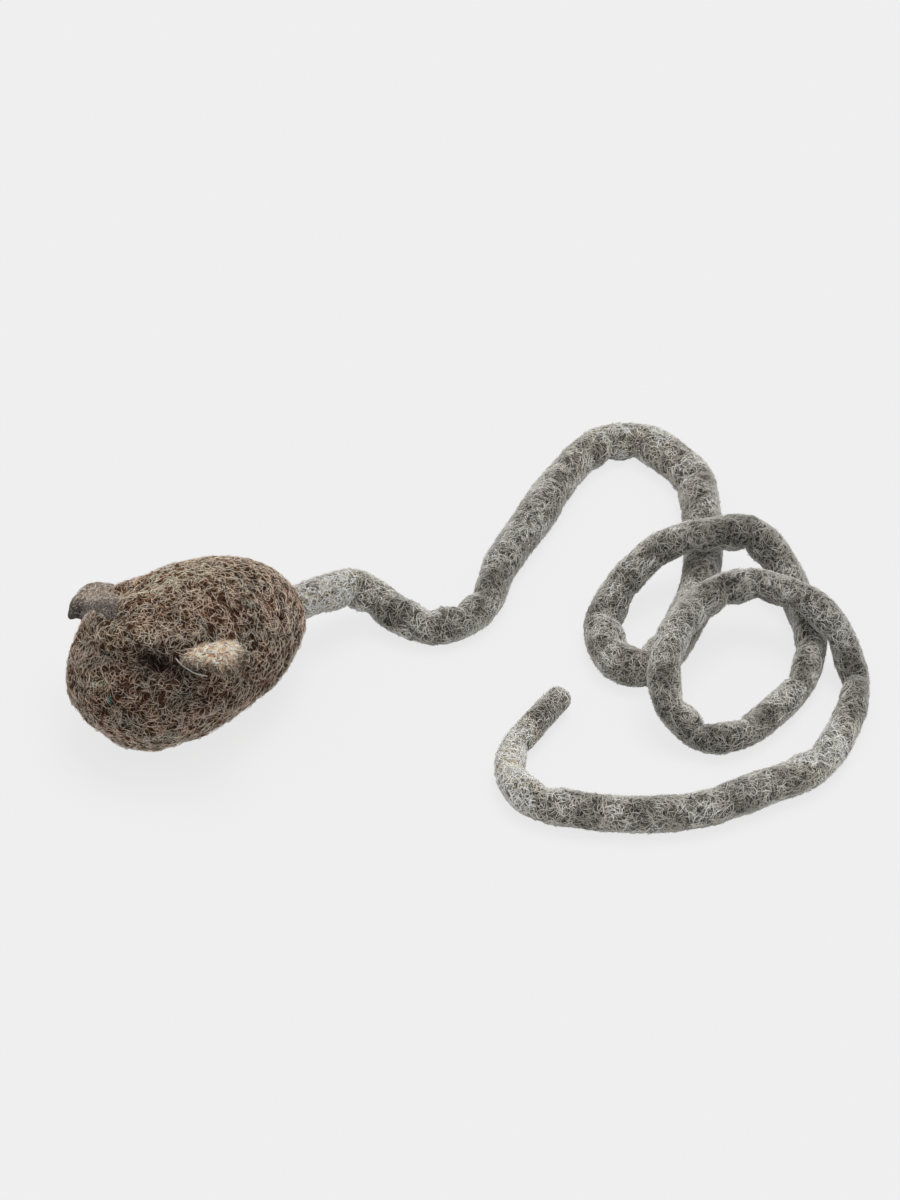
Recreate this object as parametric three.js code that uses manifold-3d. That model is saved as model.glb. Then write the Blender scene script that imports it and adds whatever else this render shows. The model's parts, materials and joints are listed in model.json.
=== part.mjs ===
// Felted wool catnip mouse: a stuffed egg-shaped body, two ear flaps and a long rope tail that lies in
// loose loops. Millimetres, +Z up, nose towards -Y, the mouse's left side towards +X, floor at z = 0.
import * as THREE from 'three';
import { mergeVertices } from 'three/addons/utils/BufferGeometryUtils.js';
import Module from 'manifold-3d';

const wasm = await Module();
wasm.setup();

// Stuffed body, fullest a little ahead of its middle
const bodyLength = 95.2;
const bodyWidth = 62;
const bodyHeight = 56;
const girthFromNose = 36.6;
const girthHeight = 21;
const bellyFlat = 0.5;
const skinWall = 4.5;

// Herb filling in the middle of the wool stuffing
const herbLength = 34;
const herbWidth = 24;
const herbHeight = 20;

// Ear flaps, hinged along their roots on the upper sides of the head
const earWidth = 21.5;
const earReach = 12;
const earThickness = 9;
const earDroop = 4.5;
const earCup = 1.6;

// Each ear's place behind the nose, and in degrees: its place up the side, toe-out of its root, and lift
const leftEar = { name: 'left_ear', side: 1, behindNose: 35, upSide: 37, toeOut: 15, lift: 76 };
const rightEar = { name: 'right_ear', side: -1, behindNose: 30.5, upSide: 26, toeOut: 20, lift: 34 };

// Rope tail, felted into the rump
const ropeDiameter = 13.8;
const ropeSides = 10;
const tailHeight = 19;
const tailAside = 2;
const tailStandOff = 1;
const rootDepth = 34;
const coilStartRun = 14;
const coilEndRun = 4;

// The tail lies on floor axes turned from the body's, measured from the floor below the tail's exit
const tailTurn = 47;

// Clearances
const fitGap = 0.3;
const earSeatGap = 0.4;
const crossingGap = 0.8;
const leastCoilGap = 0.4;

// Worked-out sizes
const ropeRadius = ropeDiameter / 2;
const ropeFlat = ropeDiameter / 10;
const lyingHeight = ropeRadius - ropeFlat;
const crossingLift = ropeDiameter + crossingGap;
const girthY = girthFromNose - bodyLength / 2;
const rumpReach = bodyLength - girthFromNose;
const crown = bodyHeight - girthHeight;
const belly = girthHeight + bellyFlat;

const brownFelt = new THREE.MeshStandardMaterial({ color: '#5a4b3e', roughness: 0.95, metalness: 0 });
const paleFelt = new THREE.MeshStandardMaterial({ color: '#8f8072', roughness: 0.95, metalness: 0 });
const greyFelt = new THREE.MeshStandardMaterial({ color: '#8f8b82', roughness: 0.95, metalness: 0 });
const looseWool = new THREE.MeshStandardMaterial({ color: '#c9bfae', roughness: 1, metalness: 0 });
const driedHerb = new THREE.MeshStandardMaterial({ color: '#6f7448', roughness: 1, metalness: 0 });

function toSolid(geometry) {
  geometry.deleteAttribute('normal');
  geometry.deleteAttribute('uv');
  const merged = mergeVertices(geometry, 1e-4);
  const vertProperties = new Float32Array(merged.attributes.position.array);
  const triVerts = new Uint32Array(merged.index.array);
  return new wasm.Manifold(new wasm.Mesh({ numProp: 3, vertProperties, triVerts }));
}

function toMesh(name, solid, material) {
  const { vertProperties, triVerts } = solid.getMesh();
  const geometry = new THREE.BufferGeometry();
  geometry.setAttribute('position', new THREE.BufferAttribute(new Float32Array(vertProperties), 3));
  geometry.setIndex(new THREE.BufferAttribute(new Uint32Array(triVerts), 1));
  geometry.computeVertexNormals();
  const mesh = new THREE.Mesh(geometry, material);
  mesh.name = name;
  return mesh;
}

// The body is an egg: a unit ball drawn out by its own reach towards the nose, rump, crown, belly and sides
function bodySurface(unit, inset) {
  const along = (unit.y < 0 ? girthFromNose : rumpReach) - inset;
  const upright = (unit.z > 0 ? crown : belly) - inset;
  const aside = bodyWidth / 2 - inset;
  return new THREE.Vector3(unit.x * aside, girthY + unit.y * along, girthHeight + unit.z * upright);
}

function bodySolid(inset, around, rings) {
  const geometry = new THREE.SphereGeometry(1, around, rings);
  const { position } = geometry.attributes;
  const unit = new THREE.Vector3();
  for (let i = 0; i < position.count; i += 1) {
    unit.fromBufferAttribute(position, i);
    const point = bodySurface(unit, inset);
    position.setXYZ(i, point.x, point.y, point.z);
  }
  return toSolid(geometry);
}

function ballSolid(centre, semiAxes, around, rings) {
  const geometry = new THREE.SphereGeometry(1, around, rings);
  geometry.scale(semiAxes.x, semiAxes.y, semiAxes.z);
  geometry.translate(centre.x, centre.y, centre.z);
  return toSolid(geometry);
}

// A round bar along Y, given by its two ends
function barSolid(radius, fromY, toY) {
  const geometry = new THREE.CylinderGeometry(radius, radius, toY - fromY, 2 * ropeSides);
  geometry.translate(tailAside, (fromY + toY) / 2, tailHeight);
  return toSolid(geometry);
}

// Where the tail leaves the rump, on the body's own surface
function rumpAt(aside, height) {
  const side = aside / (bodyWidth / 2);
  const rise = (height - girthHeight) / (height > girthHeight ? crown : belly);
  return girthY + rumpReach * Math.sqrt(1 - side * side - rise * rise);
}

const pivotY = rumpAt(tailAside, tailHeight) + tailStandOff;
const tailPivot = new THREE.Vector3(tailAside, pivotY, tailHeight);

// A floor point of the tail: across and away along the tail's own axes, then its height
function onFloor([across, away, height = lyingHeight]) {
  const turn = THREE.MathUtils.degToRad(tailTurn);
  const x = tailPivot.x + across * Math.cos(turn) - away * Math.sin(turn);
  const y = tailPivot.y + across * Math.sin(turn) + away * Math.cos(turn);
  return new THREE.Vector3(x, y, height);
}

// Outermost points of the laid loops, one each quarter turn, and how full each quarter's arc is
const loopReaches = [
  [155, 69.5],
  [124.5, -21.5],
  [113.5, 1],
  [169.5, 40.4],
  [190.5, -7],
  [153, -60.2],
  [134, -41],
  [167.5, 10.5],
  [204.6, -27],
];
const arcFullness = [2, 2, 1.85, 2.1, 1.5, 2, 1.85, 1.7];
const stepsPerQuarter = 6;

// Where a loop climbs over an earlier strand: start and end of the climb and of the way down, in quarters
const climbs = [
  { up: [2.02, 2.72], down: [2.95, 3.75] },
  { up: [5.2, 6.3], down: [7.58, 8] },
];

function coilHeight(quarters) {
  let height = lyingHeight;
  for (const { up, down } of climbs) {
    const rise = THREE.MathUtils.smoothstep(quarters, up[0], up[1]);
    const fall = THREE.MathUtils.smoothstep(quarters, down[0], down[1]);
    height += crossingLift * (rise - fall);
  }
  return height;
}

// Each quarter of a loop is an arc between two outermost points, square to the tail's axes at both
function coilPoint(quarters) {
  const index = Math.min(Math.floor(quarters), loopReaches.length - 2);
  const from = loopReaches[index];
  const to = loopReaches[index + 1];
  const centre = index % 2 === 0 ? [to[0], from[1]] : [from[0], to[1]];
  const angle = (quarters - index) * Math.PI / 2;
  const power = 2 / arcFullness[index];
  const early = Math.max(Math.cos(angle), 0) ** power;
  const late = Math.sin(angle) ** power;
  const place = [0, 1].map((k) => centre[k] + (from[k] - centre[k]) * early + (to[k] - centre[k]) * late);
  return onFloor([...place, coilHeight(quarters)]);
}

function coilCentres() {
  const first = loopReaches[0];
  const last = loopReaches[loopReaches.length - 1];
  const steps = stepsPerQuarter * (loopReaches.length - 1);
  const centres = [onFloor([first[0], first[1] + coilStartRun])];
  for (let i = 0; i <= steps; i += 1) {
    centres.push(coilPoint(i / stepsPerQuarter));
  }
  centres.push(onFloor([last[0], last[1] - coilEndRun]));
  return centres;
}

// A rope through given centres: one ring of corners at each, joined side to side and closed at both ends
function ringRope(centres) {
  const up = new THREE.Vector3(0, 0, 1);
  const corners = [];
  const faces = [];
  centres.forEach((centre, i) => {
    const before = centres[Math.max(i - 1, 0)];
    const after = centres[Math.min(i + 1, centres.length - 1)];
    const heading = new THREE.Vector3().subVectors(after, before).normalize();
    const side = new THREE.Vector3().crossVectors(heading, up).normalize();
    const over = new THREE.Vector3().crossVectors(side, heading);
    for (let j = 0; j < ropeSides; j += 1) {
      const angle = 2 * Math.PI * j / ropeSides;
      const corner = centre.clone();
      corner.addScaledVector(side, ropeRadius * Math.cos(angle));
      corner.addScaledVector(over, ropeRadius * Math.sin(angle));
      corners.push(corner.x, corner.y, corner.z);
      if (i > 0) {
        const next = (j + 1) % ropeSides;
        const here = i * ropeSides;
        const back = here - ropeSides;
        faces.push(back + j, here + next, back + next);
        faces.push(back + j, here + j, here + next);
      }
    }
  });
  const end = (centres.length - 1) * ropeSides;
  for (let j = 1; j < ropeSides - 1; j += 1) {
    faces.push(0, j, j + 1);
    faces.push(end, end + j + 1, end + j);
  }
  const geometry = new THREE.BufferGeometry();
  geometry.setAttribute('position', new THREE.Float32BufferAttribute(corners, 3));
  geometry.setIndex(faces);
  return toSolid(geometry);
}

// A rope of even section along a smooth path
function sweptRope(points, steps) {
  const path = new THREE.CatmullRomCurve3(points, false, 'centripetal');
  const section = new THREE.Shape();
  for (let j = 0; j < ropeSides; j += 1) {
    const angle = 2 * Math.PI * j / ropeSides;
    const corner = [ropeRadius * Math.cos(angle), ropeRadius * Math.sin(angle)];
    if (j === 0) {
      section.moveTo(...corner);
    } else {
      section.lineTo(...corner);
    }
  }
  section.closePath();
  return toSolid(new THREE.ExtrudeGeometry(section, { steps, extrudePath: path }));
}

function ropeEnd(centre) {
  const radii = new THREE.Vector3(ropeRadius, ropeRadius, ropeRadius);
  return ballSolid(centre, radii, 2 * ropeSides, ropeSides);
}

// From the rump down to the floor, through an S-bend and over an arch to the loops
const leadSteps = 26;
const leadRoute = [
  [5, 4, 18.9],
  [9.5, 6.7, 18.4],
  [14.5, 10.3, 17.4],
  [20, 13.6, 15],
  [27.5, 13.6, 10.7],
  [35, 8.8, 7.4],
  [40, 5.8, 6],
  [46, 3.3],
  [54, 2.5],
  [61, 6],
  [66.5, 11.8],
  [71, 21.5],
  [75.5, 37],
  [85, 58.5],
  [95, 80.5],
  [102, 94.5],
  [110, 107.5],
  [118.5, 115.5],
  [128.5, 118],
  [137, 115.5],
  [144.5, 108],
  [151.5, 98.5],
];

// From the loops round the near side to the elbow and the blunt end
const tipSteps = 28;
const tipRoute = [
  [202.2, -43.8],
  [199, -52],
  [195, -60.2],
  [190.2, -68.5],
  [184.2, -75.2],
  [177.2, -80.2],
  [169, -84.2],
  [149, -94.3],
  [137, -97],
  [122, -98],
  [108.5, -97],
  [98, -95],
  [90, -92.3],
  [83.5, -87.2],
  [79, -80],
  [77.5, -71],
  [79.7, -62.5],
  [85.7, -51.7],
];
const tipEnd = [94.3, -39.6];

// A block below the floor, as wide as the tail's spread, which presses soft forms flat where they rest
function belowFloor() {
  const spread = Math.max(...[...leadRoute, ...loopReaches, ...tipRoute].flat().map(Math.abs));
  const side = 4 * (spread + bodyLength);
  const geometry = new THREE.BoxGeometry(side, side, bodyHeight);
  geometry.translate(0, 0, -bodyHeight / 2);
  return toSolid(geometry);
}

function makeTail() {
  const coilStart = loopReaches[0];
  const coilEnd = loopReaches[loopReaches.length - 1];
  const leadEnd = [coilStart[0], coilStart[1] + coilStartRun + fitGap];
  const leadLast = [leadEnd[0], leadEnd[1] + ropeRadius];
  const tipStart = [coilEnd[0], coilEnd[1] - coilEndRun - fitGap];
  const tipNext = [tipStart[0], tipStart[1] - coilEndRun];
  const floor = belowFloor();

  const leadPoints = [tailPivot, ...[...leadRoute, leadLast, leadEnd].map(onFloor)];
  const lead = sweptRope(leadPoints, leadSteps).add(ropeEnd(tailPivot)).subtract(floor);

  const centres = coilCentres();
  const coil = ringRope(centres).subtract(floor);
  printCoilGap(centres);
  printHinge('tail', tailPivot, new THREE.Vector3(0, 0, 1));

  const tipPoints = [tipStart, tipNext, ...tipRoute, tipEnd].map(onFloor);
  const tip = sweptRope(tipPoints, tipSteps).add(ropeEnd(onFloor(tipEnd))).subtract(floor);
  return [
    toMesh('tail_lead', lead, greyFelt),
    toMesh('tail_coil', coil, greyFelt),
    toMesh('tail_tip', tip, greyFelt),
  ];
}

// Least clear distance between strands of the coil, on points that are apart along the rope
function printCoilGap(centres) {
  const pointsPerStep = 12;
  const fine = new THREE.CatmullRomCurve3(centres).getSpacedPoints(pointsPerStep * centres.length);
  const sameStrand = 2.5 * ropeDiameter;
  const apart = Math.ceil(sameStrand / fine[0].distanceTo(fine[1]));
  let least = Infinity;
  for (let i = 0; i < fine.length; i += 1) {
    for (let j = i + apart; j < fine.length; j += 1) {
      least = Math.min(least, fine[i].distanceTo(fine[j]) - ropeDiameter);
    }
  }
  const verdict = least > leastCoilGap ? 'clear' : 'too close';
  console.log(`tail_coil least gap to itself ${least.toFixed(2)} mm, ${verdict}`);
}

// An ear is a rounded leaf with soft edges, its root along the hinge line, drooping and cupped
function earSolid() {
  const flatMiddle = earThickness / 20;
  const round = (earThickness - flatMiddle) / 2;
  const halfWidth = earWidth / 2 - round;
  const reach = earReach - round;
  const shoulder = 0.75 * reach;
  const crest = 0.6 * halfWidth;
  const leaf = new THREE.Shape();
  leaf.moveTo(-halfWidth, 0);
  leaf.lineTo(halfWidth, 0);
  leaf.bezierCurveTo(halfWidth, shoulder, crest, reach, 0, reach);
  leaf.bezierCurveTo(-crest, reach, -halfWidth, shoulder, -halfWidth, 0);
  const edge = { bevelEnabled: true, bevelThickness: round, bevelSize: round, bevelSegments: 4 };
  const geometry = new THREE.ExtrudeGeometry(leaf, { depth: flatMiddle, curveSegments: 8, ...edge });
  geometry.translate(0, 0, -flatMiddle / 2);
  const { position } = geometry.attributes;
  for (let i = 0; i < position.count; i += 1) {
    const out = Math.max(position.getY(i), 0) / earReach;
    const wide = position.getX(i) / (earWidth / 2);
    position.setZ(i, position.getZ(i) - (earDroop + earCup * wide * wide) * out * out);
  }
  return toSolid(geometry);
}

// The seat of an ear on the body, with its hinge line, and its blade lifted off the body's side
function earFrame({ side, behindNose, upSide, toeOut, lift }) {
  const { degToRad } = THREE.MathUtils;
  const lengthwise = behindNose < girthFromNose ? girthFromNose : rumpReach;
  const station = (behindNose - girthFromNose) / lengthwise;
  const ring = Math.sqrt(1 - station * station);
  const up = degToRad(upSide);
  const unit = new THREE.Vector3(side * Math.cos(up) * ring, station, Math.sin(up) * ring);
  const axes = new THREE.Vector3(bodyWidth / 2, lengthwise, crown);
  const outward = unit.clone().divide(axes).normalize();
  const toe = degToRad(toeOut);
  const root = new THREE.Vector3(side * Math.sin(toe), Math.cos(toe), 0);
  root.addScaledVector(outward, -root.dot(outward)).normalize();
  const downSide = new THREE.Vector3().crossVectors(root, outward).multiplyScalar(side);
  const rise = degToRad(lift);
  const blade = downSide.multiplyScalar(Math.cos(rise)).addScaledVector(outward, Math.sin(rise));
  const width = root.clone().multiplyScalar(-side);
  const top = new THREE.Vector3().crossVectors(width, blade);
  const place = bodySurface(unit, 0).addScaledVector(outward, earThickness / 2 + earSeatGap);
  return { place, root, turn: new THREE.Matrix4().makeBasis(width, blade, top) };
}

function printHinge(name, place, line) {
  const show = (vector) => vector.toArray().map((value) => value.toFixed(3)).join(', ');
  console.log(`${name} turns at ${show(place)} about ${show(line)}`);
}

function makeEar(ear) {
  const { place, root, turn } = earFrame(ear);
  const hinge = new THREE.Group();
  hinge.position.copy(place);
  hinge.quaternion.setFromRotationMatrix(turn);
  hinge.add(toMesh(ear.name, earSolid(), paleFelt));
  printHinge(ear.name, place, root);
  return hinge;
}

function makeBody() {
  const rootEnd = tailPivot.y - ropeRadius - fitGap;
  const rootStart = rootEnd - rootDepth;
  const herbHalf = new THREE.Vector3(herbWidth, herbLength, herbHeight).multiplyScalar(0.5);
  const herbCentre = new THREE.Vector3(0, rootStart - herbHalf.y, girthHeight);
  const pocketHalf = herbHalf.clone().addScalar(fitGap);
  const bore = barSolid(ropeRadius + fitGap, rootStart - herbHalf.y, bodyLength);

  const skin = bodySolid(0, 36, 28)
    .subtract(bodySolid(skinWall, 28, 22))
    .subtract(bore)
    .subtract(belowFloor());
  const stuffing = bodySolid(skinWall + fitGap, 28, 22)
    .subtract(ballSolid(herbCentre, pocketHalf, 20, 14))
    .subtract(bore);
  const herb = ballSolid(herbCentre, herbHalf, 20, 14);
  return [
    toMesh('body_shell', skin, brownFelt),
    toMesh('wool_core', stuffing, looseWool),
    toMesh('catnip_filling', herb, driedHerb),
    toMesh('tail_root', barSolid(ropeRadius, rootStart + fitGap, rootEnd), greyFelt),
  ];
}

const mouse = new THREE.Group();
mouse.add(...makeBody());
mouse.add(makeEar(leftEar), makeEar(rightEar));
mouse.add(...makeTail());

export default mouse;
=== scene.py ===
import json
import math

import bmesh
import bpy
import numpy as np
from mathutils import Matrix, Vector, noise
from mathutils.bvhtree import BVHTree


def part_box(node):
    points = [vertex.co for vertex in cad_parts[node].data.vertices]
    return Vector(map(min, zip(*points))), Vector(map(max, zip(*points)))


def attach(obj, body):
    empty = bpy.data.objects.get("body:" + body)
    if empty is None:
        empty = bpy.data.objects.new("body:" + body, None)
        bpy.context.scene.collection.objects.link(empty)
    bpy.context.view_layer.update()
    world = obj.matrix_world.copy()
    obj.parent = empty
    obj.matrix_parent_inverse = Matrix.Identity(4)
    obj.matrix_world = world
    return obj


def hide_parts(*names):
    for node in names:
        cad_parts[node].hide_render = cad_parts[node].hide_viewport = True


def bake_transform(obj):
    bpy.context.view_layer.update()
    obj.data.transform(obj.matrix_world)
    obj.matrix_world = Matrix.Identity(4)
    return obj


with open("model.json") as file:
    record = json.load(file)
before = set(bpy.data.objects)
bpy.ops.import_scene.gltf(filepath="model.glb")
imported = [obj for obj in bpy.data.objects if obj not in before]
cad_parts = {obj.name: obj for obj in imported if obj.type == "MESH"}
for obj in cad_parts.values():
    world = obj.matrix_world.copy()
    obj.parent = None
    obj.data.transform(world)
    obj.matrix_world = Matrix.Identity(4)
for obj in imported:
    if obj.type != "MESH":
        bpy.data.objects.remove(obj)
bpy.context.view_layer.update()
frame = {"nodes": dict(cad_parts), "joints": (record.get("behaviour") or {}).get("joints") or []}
mm = 0.001
joints = {joint["name"]: joint for joint in frame["joints"]}
print("frame loaded with", len(frame["nodes"]), "nodes")


# The photograph's view
photo = {
    "azimuth": 47,
    "elevation": 40,
    "distance": 1080 * mm,
    "aim": (22.8 * mm, 106 * mm, 0),
    "lens": 85.04,
    "sensor": 36,
}


def makeCamera():
    turn = math.radians(photo["azimuth"])
    tilt = math.radians(photo["elevation"])
    back = Vector((math.sin(turn) * math.cos(tilt), -math.cos(turn) * math.cos(tilt), math.sin(tilt)))
    camera = bpy.data.objects.new("camera", bpy.data.cameras.new("camera"))
    camera.data.lens = photo["lens"]
    camera.data.sensor_width = photo["sensor"]
    camera.location = Vector(photo["aim"]) + back * photo["distance"]
    camera.rotation_euler = (math.pi / 2 - tilt, 0, turn)
    bpy.context.scene.collection.objects.link(camera)
    bpy.context.scene.camera = camera


makeCamera()
print("camera set")


# Helpers for meshes
def asArray(items, field, width=3):
    flat = np.empty(len(items) * width, np.float32)
    items.foreach_get(field, flat)
    return flat.reshape(-1, width).astype(float)


def unit(rows):
    return rows / np.maximum(np.linalg.norm(rows, axis=-1, keepdims=True), 1e-12)


def lumps(points, grains):
    # how far smooth bumps rise, from pairs of their size across and their height in mm
    rise = np.zeros(len(points))
    for size, high in grains:
        scaled = points / (size * mm) + size
        rise += high * mm * np.array([noise.noise(Vector(p)) for p in scaled])
    return rise


def nearLine(points, line, spread):
    # 1 on a line of points in mm, fading out over the spread
    corners = np.array(line, float) * mm
    if len(corners) == 1:
        corners = np.vstack([corners, corners + 1e-6])
    best = np.full(len(points), np.inf)
    for a, b in zip(corners, corners[1:]):
        share = np.clip((points - a) @ (b - a) / ((b - a) @ (b - a)), 0, 1)
        best = np.minimum(best, np.linalg.norm(points - a - share[:, None] * (b - a), axis=1))
    return np.exp(-((best / (spread * mm)) ** 2))


def fades(points, spots):
    # sum of lines that each fade out: line, spread, most
    return sum(most * nearLine(points, line, spread) for line, spread, most in spots)


def makePiece(name, points, faces, material, fields={}):
    mesh = bpy.data.meshes.new(name)
    mesh.from_pydata(points.tolist(), [], faces)
    mesh.polygons.foreach_set("use_smooth", np.ones(len(mesh.polygons), bool))
    for field, values in {"rest": points, **fields}.items():
        values = np.asarray(values, np.float32)
        layer = mesh.attributes.new(field, "FLOAT" if values.ndim == 1 else "FLOAT_VECTOR", "POINT")
        layer.data.foreach_set("value" if values.ndim == 1 else "vector", values.ravel())
    mesh.materials.append(material)
    mesh.update()
    piece = bpy.data.objects.new(name, mesh)
    bpy.context.scene.collection.objects.link(piece)
    return piece


def ballPoints(divisions):
    ball = bmesh.new()
    bmesh.ops.create_icosphere(ball, subdivisions=divisions, radius=1)
    points = np.array([v.co for v in ball.verts], float)
    faces = [[v.index for v in f.verts] for f in ball.faces]
    ball.free()
    return points, faces


# Helpers for materials
def linear(colour):
    shares = [int(colour[i:i + 2], 16) / 255 for i in (1, 3, 5)]
    return [s / 12.92 if s <= 0.04045 else ((s + 0.055) / 1.055) ** 2.4 for s in shares] + [1]


def addNode(tree, kind, settings={}, links={}):
    node = tree.nodes.new(kind)
    for name, value in settings.items():
        if name == "stops":
            ramp = node.color_ramp.elements
            for place, colour in value[2:]:
                ramp.new(place)
            for stop, (place, colour) in zip(ramp, value):
                stop.position = place
                stop.color = linear(colour)
        elif isinstance(name, int) or name in node.inputs:
            node.inputs[name].default_value = value
        else:
            setattr(node, name, value)
    for name, socket in links.items():
        tree.links.new(socket, node.inputs[name])
    return node


def newMaterial(name):
    material = bpy.data.materials.new(name)
    material.use_nodes = True
    material.node_tree.nodes.clear()
    return material, material.node_tree


def woolTone(tree, colour, look):
    # patches where the fleece was mixed unevenly, then what the piece's own fields make paler or darker:
    # paler or darker fleece on the tail, mostly painted light and painted shade on the body and ears
    rest = addNode(tree, "ShaderNodeAttribute", {"attribute_name": "rest"}).outputs["Vector"]
    pale = addNode(tree, "ShaderNodeAttribute", {"attribute_name": "pale"}).outputs["Fac"]
    dark = addNode(tree, "ShaderNodeAttribute", {"attribute_name": "dark"}).outputs["Fac"]
    patches = addNode(tree, "ShaderNodeTexNoise",
                      {"Scale": 1 / (look["patch"] * mm), "Detail": 2, "Roughness": 0.55}, {"Vector": rest})
    tint = addNode(tree, "ShaderNodeValToRGB", {"stops": look["tint"]}, {"Fac": patches.outputs["Fac"]})
    mixed = addNode(tree, "ShaderNodeMixRGB", {"blend_type": "MULTIPLY", "Fac": 1},
                    {"Color1": colour, "Color2": tint.outputs["Color"]})
    light = addNode(tree, "ShaderNodeMixRGB", {"blend_type": "DODGE", "Color2": linear(look["pale"])},
                    {"Fac": pale, "Color1": mixed.outputs["Color"]})
    deep = addNode(tree, "ShaderNodeMixRGB", {"blend_type": "MULTIPLY", "Color2": linear(look["dark"])},
                   {"Fac": dark, "Color1": light.outputs["Color"]})
    return deep.outputs["Color"]


def paintedSheen(tree, colour, look, lie={}):
    # painted sheen: the colour turns towards a pale tint where the surface faces away from the view,
    # for the fine hairs that stand off the felt and catch light along its edges
    turned = addNode(tree, "ShaderNodeLayerWeight", {"Blend": 0.5}, lie)
    share = addNode(tree, "ShaderNodeMapRange",
                    {"From Min": 0.45, "From Max": 0.95, "To Max": look["sheen"]},
                    {"Value": turned.outputs["Facing"]})
    mixed = addNode(tree, "ShaderNodeMixRGB", {"Color2": linear(look["sheenTint"])},
                    {"Fac": share.outputs["Result"], "Color1": colour})
    return mixed.outputs["Color"]


# where a drawn hair shows on the noise that it follows, white for all of it
strandLines = [(0.4, "#000000"), (0.435, "#ffffff"), (0.47, "#000000"),
               (0.53, "#000000"), (0.565, "#ffffff"), (0.6, "#000000")]


# Felt: fleece wetted, soaped and rolled until its hairs lock. It has no gloss, only a mat of curly hairs
# drawn lighter over a dark ground, darker fleece with painted shade in the gaps, and a painted sheen along
# its edges.
def feltGround(name, look):
    material, tree = newMaterial(name)
    rest = addNode(tree, "ShaderNodeAttribute", {"attribute_name": "rest"}).outputs["Vector"]
    # the ground under the drawn strands: darker fleece, with painted shade in the gaps between the hairs
    gap = addNode(tree, "ShaderNodeTexNoise", {"Scale": 1 / (2 * look["patch"] * mm), "Detail": 2},
                  {"Vector": rest})
    ground = addNode(tree, "ShaderNodeValToRGB", {"stops": look["gaps"]}, {"Fac": gap.outputs["Fac"]})
    colour = ground.outputs["Color"]
    # lines of equal height on smooth noise wander and cross as matted hairs do, each layer on its own slice
    # of the noise; real hairs are 0.03 mm thick, so these are drawn about ten times as coarse
    for layer, (size, hair) in enumerate(look["strands"]):
        field = addNode(tree, "ShaderNodeTexNoise",
                        {"noise_dimensions": "4D", "W": 3.7 * layer, "Scale": 1 / (size * mm), "Detail": 1,
                         "Roughness": 0.4, "Distortion": 0.7}, {"Vector": rest})
        line = addNode(tree, "ShaderNodeValToRGB", {"stops": strandLines}, {"Fac": field.outputs["Fac"]})
        laid = addNode(tree, "ShaderNodeMixRGB", {"Color2": linear(hair)},
                       {"Fac": line.outputs["Color"], "Color1": colour})
        colour = laid.outputs["Color"]
    bump = addNode(tree, "ShaderNodeBump", {"Strength": 0.8, "Distance": 0.5 * mm}, {"Height": colour})
    shader = addNode(tree, "ShaderNodeBsdfPrincipled",
                     {"Roughness": 0.95, "IOR": 1.54, "Specular IOR Level": 0.15},
                     {"Base Color": paintedSheen(tree, woolTone(tree, colour, look), look),
                      "Normal": bump.outputs["Normal"]})
    addNode(tree, "ShaderNodeOutputMaterial", {}, {"Surface": shader.outputs["BSDF"]})
    return material


# The hairs of the same fleece that lie loose on the felt: each has its own shade between the dark and the
# white hairs of the fleece, they shine a little along their length, and they take the painted light, shade
# and sheen of the felt under them.
def fleeceHair(name, look):
    material, tree = newMaterial(name)
    shade = addNode(tree, "ShaderNodeAttribute", {"attribute_name": "shade"}).outputs["Fac"]
    # the facing of the felt under each hair, which steers its painted sheen
    lie = addNode(tree, "ShaderNodeAttribute", {"attribute_name": "lie"}).outputs["Vector"]
    hair = addNode(tree, "ShaderNodeValToRGB", {"stops": look["hairs"]}, {"Fac": shade})
    tone = woolTone(tree, hair.outputs["Color"], look)
    shader = addNode(tree, "ShaderNodeBsdfPrincipled",
                     {"Roughness": 0.7, "IOR": 1.54, "Specular IOR Level": 0.25},
                     {"Base Color": paintedSheen(tree, tone, look, {"Normal": lie})})
    addNode(tree, "ShaderNodeOutputMaterial", {}, {"Surface": shader.outputs["BSDF"]})
    return material


# Loose hairs lying on a felt piece, about five to nine times as thick as real ones so that they show
hairSpread = {
    # how far single hairs differ from what their coat says, from least to most
    "length": (0.6, 1.4),
    "curl": (0.4, 1.6),
    "spin": (-1, 1),
    "wave": (0.5, 1.4),
    "rise": (0.3, 1),
    "lift": (0.4, 1),
    "thick": (0.5, 1.5),
}


def surfaceOf(mesh):
    return BVHTree.FromPolygons([v.co for v in mesh.vertices], [p.vertices for p in mesh.polygons])


def nearest(surface, points):
    found = [surface.find_nearest(p) for p in points]
    return np.array([hit[0] for hit in found]), np.array([hit[1] for hit in found])


def strewn(mesh, wool, rng):
    # random points on a share of the faces, even over the area but sparse underneath
    mesh.calc_loop_triangles()
    corners = asArray(mesh.loop_triangles, "vertices").astype(int)
    faces = asArray(mesh.loop_triangles, "polygon_index", 1).astype(int).ravel()
    share = faces / len(mesh.polygons)
    first, last = wool.get("part", (0, 1))
    corners = corners[(share >= first) & (share < last)]
    spots = asArray(mesh.vertices, "co")
    a, b, c = spots[corners[:, 0]], spots[corners[:, 1]], spots[corners[:, 2]]
    across = np.cross(b - a, c - a)
    underneath = unit(across)[:, 2] < -0.7
    area = np.linalg.norm(across, axis=1) * np.where(underneath, 0.3, 1)
    count = wool["count"]
    pick = rng.choice(len(area), count, p=area / area.sum())
    s = np.sqrt(rng.random(count))[:, None]
    t = rng.random(count)[:, None]
    points = a[pick] * (1 - s) + b[pick] * s * (1 - t) + c[pick] * s * t
    return points, unit(across[pick]), corners[pick, 0]


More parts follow.
